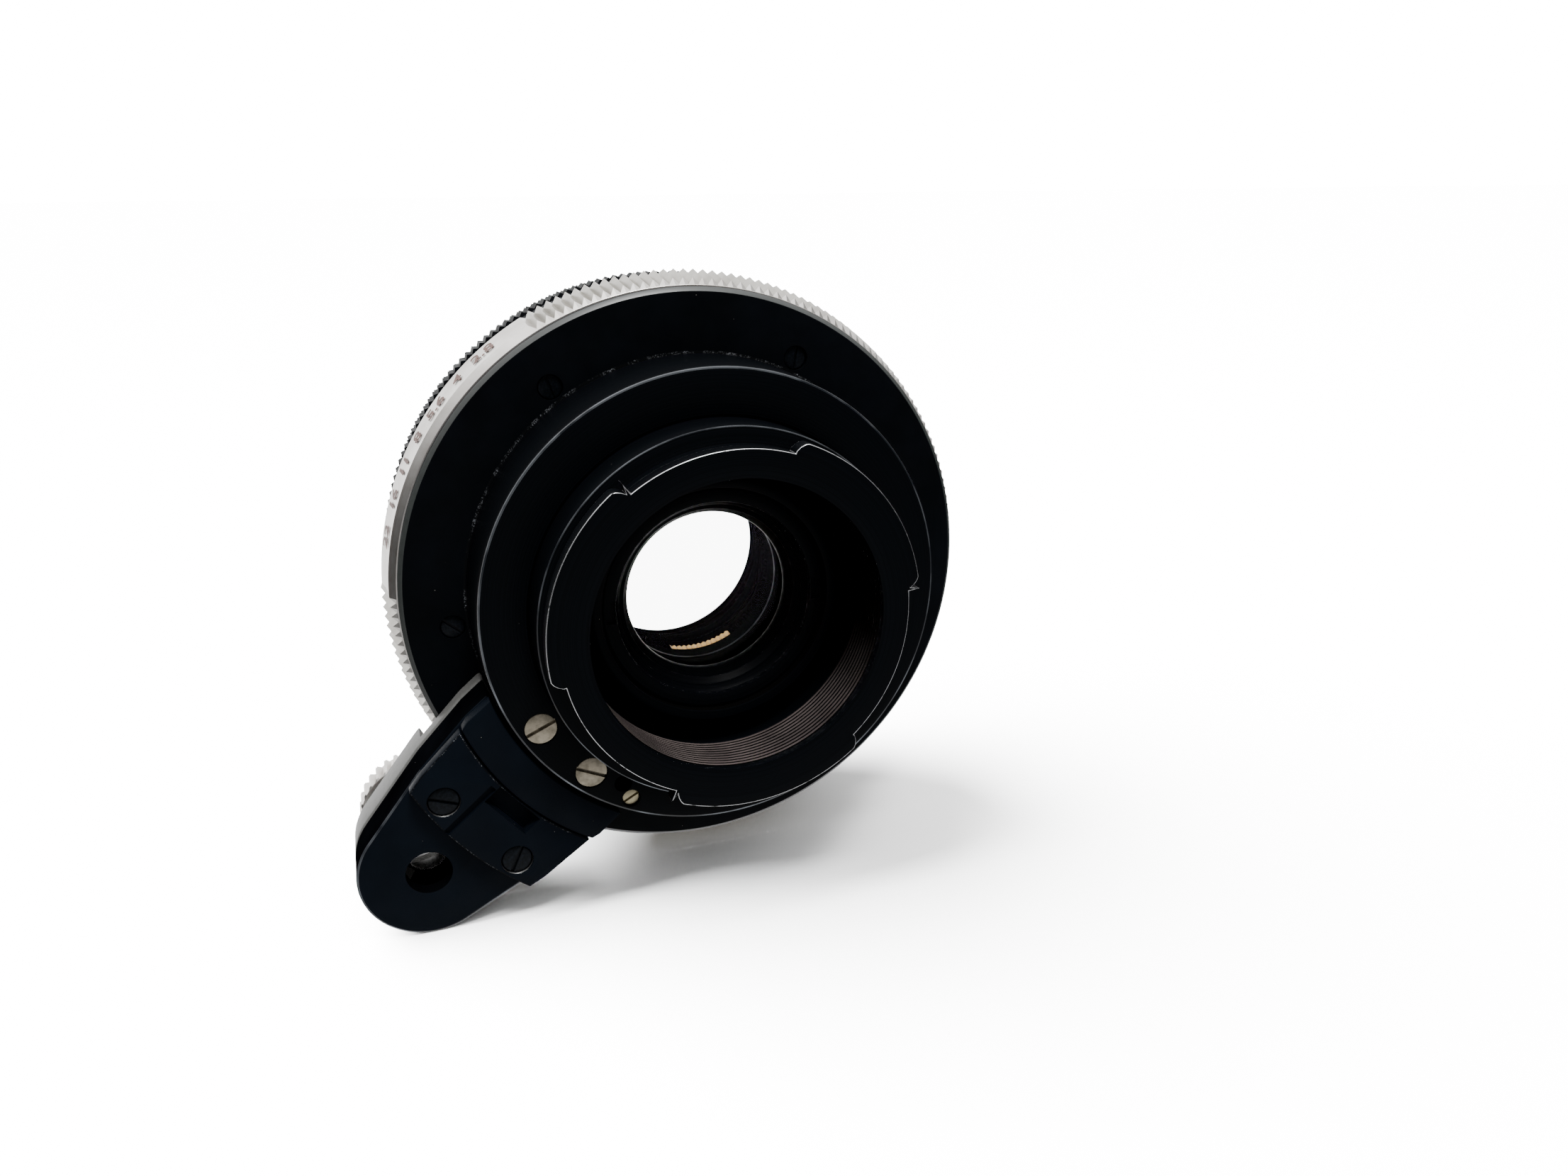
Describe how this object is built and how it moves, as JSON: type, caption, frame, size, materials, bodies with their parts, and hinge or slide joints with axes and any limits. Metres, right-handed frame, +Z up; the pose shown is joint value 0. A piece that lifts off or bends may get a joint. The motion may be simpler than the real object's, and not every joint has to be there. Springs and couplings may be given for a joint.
{
  "type": "camera lens",
  "caption": "Bayonet-mount camera lens on its side: lug mount, boss, disc, silver aperture ring, focus ring, iris and a side arm with a release button.",
  "frame": {"origin": "middle of the box's bottom face, on the surface the lens lies on", "axes": "+Y along the optical axis from the bayonet to the front, +Z up; seen from the bayonet end the release arm points to the lower left"},
  "size_m": [0.0715, 0.04, 0.066],
  "materials": {
    "black_anodised": "satin black anodised",
    "bayonet_steel": "blackened steel worn bright at the edges",
    "nickel_screws": "nickel plated",
    "black_screws": "blackened",
    "steel_parts": "bright plated",
    "blade_steel": "blued, satin",
    "brass_parts": "turned",
    "cell_brass": "blackened brass",
    "satin_aluminium": "satin, clear anodised",
    "helicoid_aluminium": "turned thread",
    "grey_enamel": "dark grey satin",
    "coated_glass": "polished, coated"
  },
  "bodies": {
    "housing": {"bayonet_mount": "bayonet_steel", "throat_baffle": "black_anodised", "mount_boss": "black_anodised", "mount_screw_1": "nickel_screws", "mount_screw_2": "nickel_screws", "lock_screw": "brass_parts", "rear_flange": "black_anodised", "flange_screw_1": "black_screws", "flange_screw_2": "black_screws", "flange_screw_3": "black_screws", "flange_screw_4": "black_screws", "flange_screw_5": "black_screws", "main_barrel": "black_anodised", "click_ball": "steel_parts", "index_ring": "black_anodised", "focus_key": "brass_parts", "arm_body": "black_anodised", "arm_cover_plate": "black_anodised", "cover_screw_1": "black_screws", "cover_screw_2": "black_screws", "arm_front_shell": "grey_enamel", "lever_pin": "steel_parts", "return_spring": "steel_parts"},
    "aperture": {"aperture_ring": "satin_aluminium"},
    "focus": {"focus_ring": "black_anodised", "helicoid_sleeve": "helicoid_aluminium", "focus_set_screw_1": "black_screws", "focus_set_screw_2": "black_screws", "focus_set_screw_3": "black_screws"},
    "optics": {"optics_barrel": "black_anodised", "rear_cell": "cell_brass", "rear_retaining_ring": "black_anodised", "fourth_element": "coated_glass", "third_element": "coated_glass", "iris_base": "black_anodised", "front_cell": "black_anodised", "second_element": "coated_glass", "element_spacer": "brass_parts", "front_element": "coated_glass", "front_retaining_ring": "black_anodised", "filter_ring": "black_anodised"},
    "iris_drive": {"iris_drive_ring": "steel_parts"},
    "release": {"release_button": "satin_aluminium", "release_plunger": "steel_parts"},
    "lever": {"release_lever": "steel_parts"},
    "blade_1": {"iris_blade_1": "blade_steel"},
    "blade_2": {"iris_blade_2": "blade_steel"},
    "blade_3": {"iris_blade_3": "blade_steel"},
    "blade_4": {"iris_blade_4": "blade_steel"},
    "blade_5": {"iris_blade_5": "blade_steel"},
    "blade_6": {"iris_blade_6": "blade_steel"}
  },
  "joints": [
    {"name": "aperture_turn", "type": "hinge", "parent": "housing", "child": "aperture", "pos_m": [0.00275, 0.0004, 0.033], "axis": [0, 1, 0], "range_deg": [0, 38.1]},
    {"name": "focus_turn", "type": "hinge", "parent": "housing", "child": "focus", "pos_m": [0.00275, 0.01, 0.033], "axis": [0, 1, 0], "range_deg": [0, 240]},
    {"name": "optics_slide", "type": "slide", "parent": "housing", "child": "optics", "axis": [0, 1, 0], "range_m": [0, 0.006]},
    {"name": "iris_drive_turn", "type": "hinge", "parent": "optics", "child": "iris_drive", "pos_m": [0.00275, 0.0057, 0.033], "axis": [0, 1, 0], "range_deg": [0, 38.1]},
    {"name": "release_press", "type": "slide", "parent": "housing", "child": "release", "axis": [0, -1, 0], "range_m": [0, 0.0035], "stiffness_N_per_m": 300, "springref_m": -0.002, "deforming": ["return_spring"]},
    {"name": "lever_turn", "type": "hinge", "parent": "housing", "child": "lever", "pos_m": [-0.02371, -0.0072, 0.01715], "axis": [0, 1, 0], "range_deg": [0, 12]},
    {"name": "blade_1_turn", "type": "hinge", "parent": "optics", "child": "blade_1", "pos_m": [0.00275, 0.0025, 0.0176], "axis": [0, 1, 0], "range_deg": [0, 29.5]},
    {"name": "blade_2_turn", "type": "hinge", "parent": "optics", "child": "blade_2", "pos_m": [-0.01058, 0.0029, 0.0253], "axis": [0, 1, 0], "range_deg": [0, 29.5]},
    {"name": "blade_3_turn", "type": "hinge", "parent": "optics", "child": "blade_3", "pos_m": [-0.01058, 0.0033, 0.0407], "axis": [0, 1, 0], "range_deg": [0, 29.5]},
    {"name": "blade_4_turn", "type": "hinge", "parent": "optics", "child": "blade_4", "pos_m": [0.00275, 0.0037, 0.0484], "axis": [0, 1, 0], "range_deg": [0, 29.5]},
    {"name": "blade_5_turn", "type": "hinge", "parent": "optics", "child": "blade_5", "pos_m": [0.01609, 0.0041, 0.0407], "axis": [0, 1, 0], "range_deg": [0, 29.5]},
    {"name": "blade_6_turn", "type": "hinge", "parent": "optics", "child": "blade_6", "pos_m": [0.01609, 0.0045, 0.0253], "axis": [0, 1, 0], "range_deg": [0, 29.5]}
  ],
  "couplings": [
    {"joint": "optics_slide", "follows": "focus_turn", "m_per_rad": 0.0014324},
    {"joint": "iris_drive_turn", "follows": "aperture_turn", "ratio": 1},
    {"joint": "lever_turn", "follows": "release_press", "rad_per_m": 59.8},
    {"joint": "blade_1_turn", "follows": "aperture_turn", "ratio": 0.77428},
    {"joint": "blade_2_turn", "follows": "aperture_turn", "ratio": 0.77428},
    {"joint": "blade_3_turn", "follows": "aperture_turn", "ratio": 0.77428},
    {"joint": "blade_4_turn", "follows": "aperture_turn", "ratio": 0.77428},
    {"joint": "blade_5_turn", "follows": "aperture_turn", "ratio": 0.77428},
    {"joint": "blade_6_turn", "follows": "aperture_turn", "ratio": 0.77428}
  ]
}
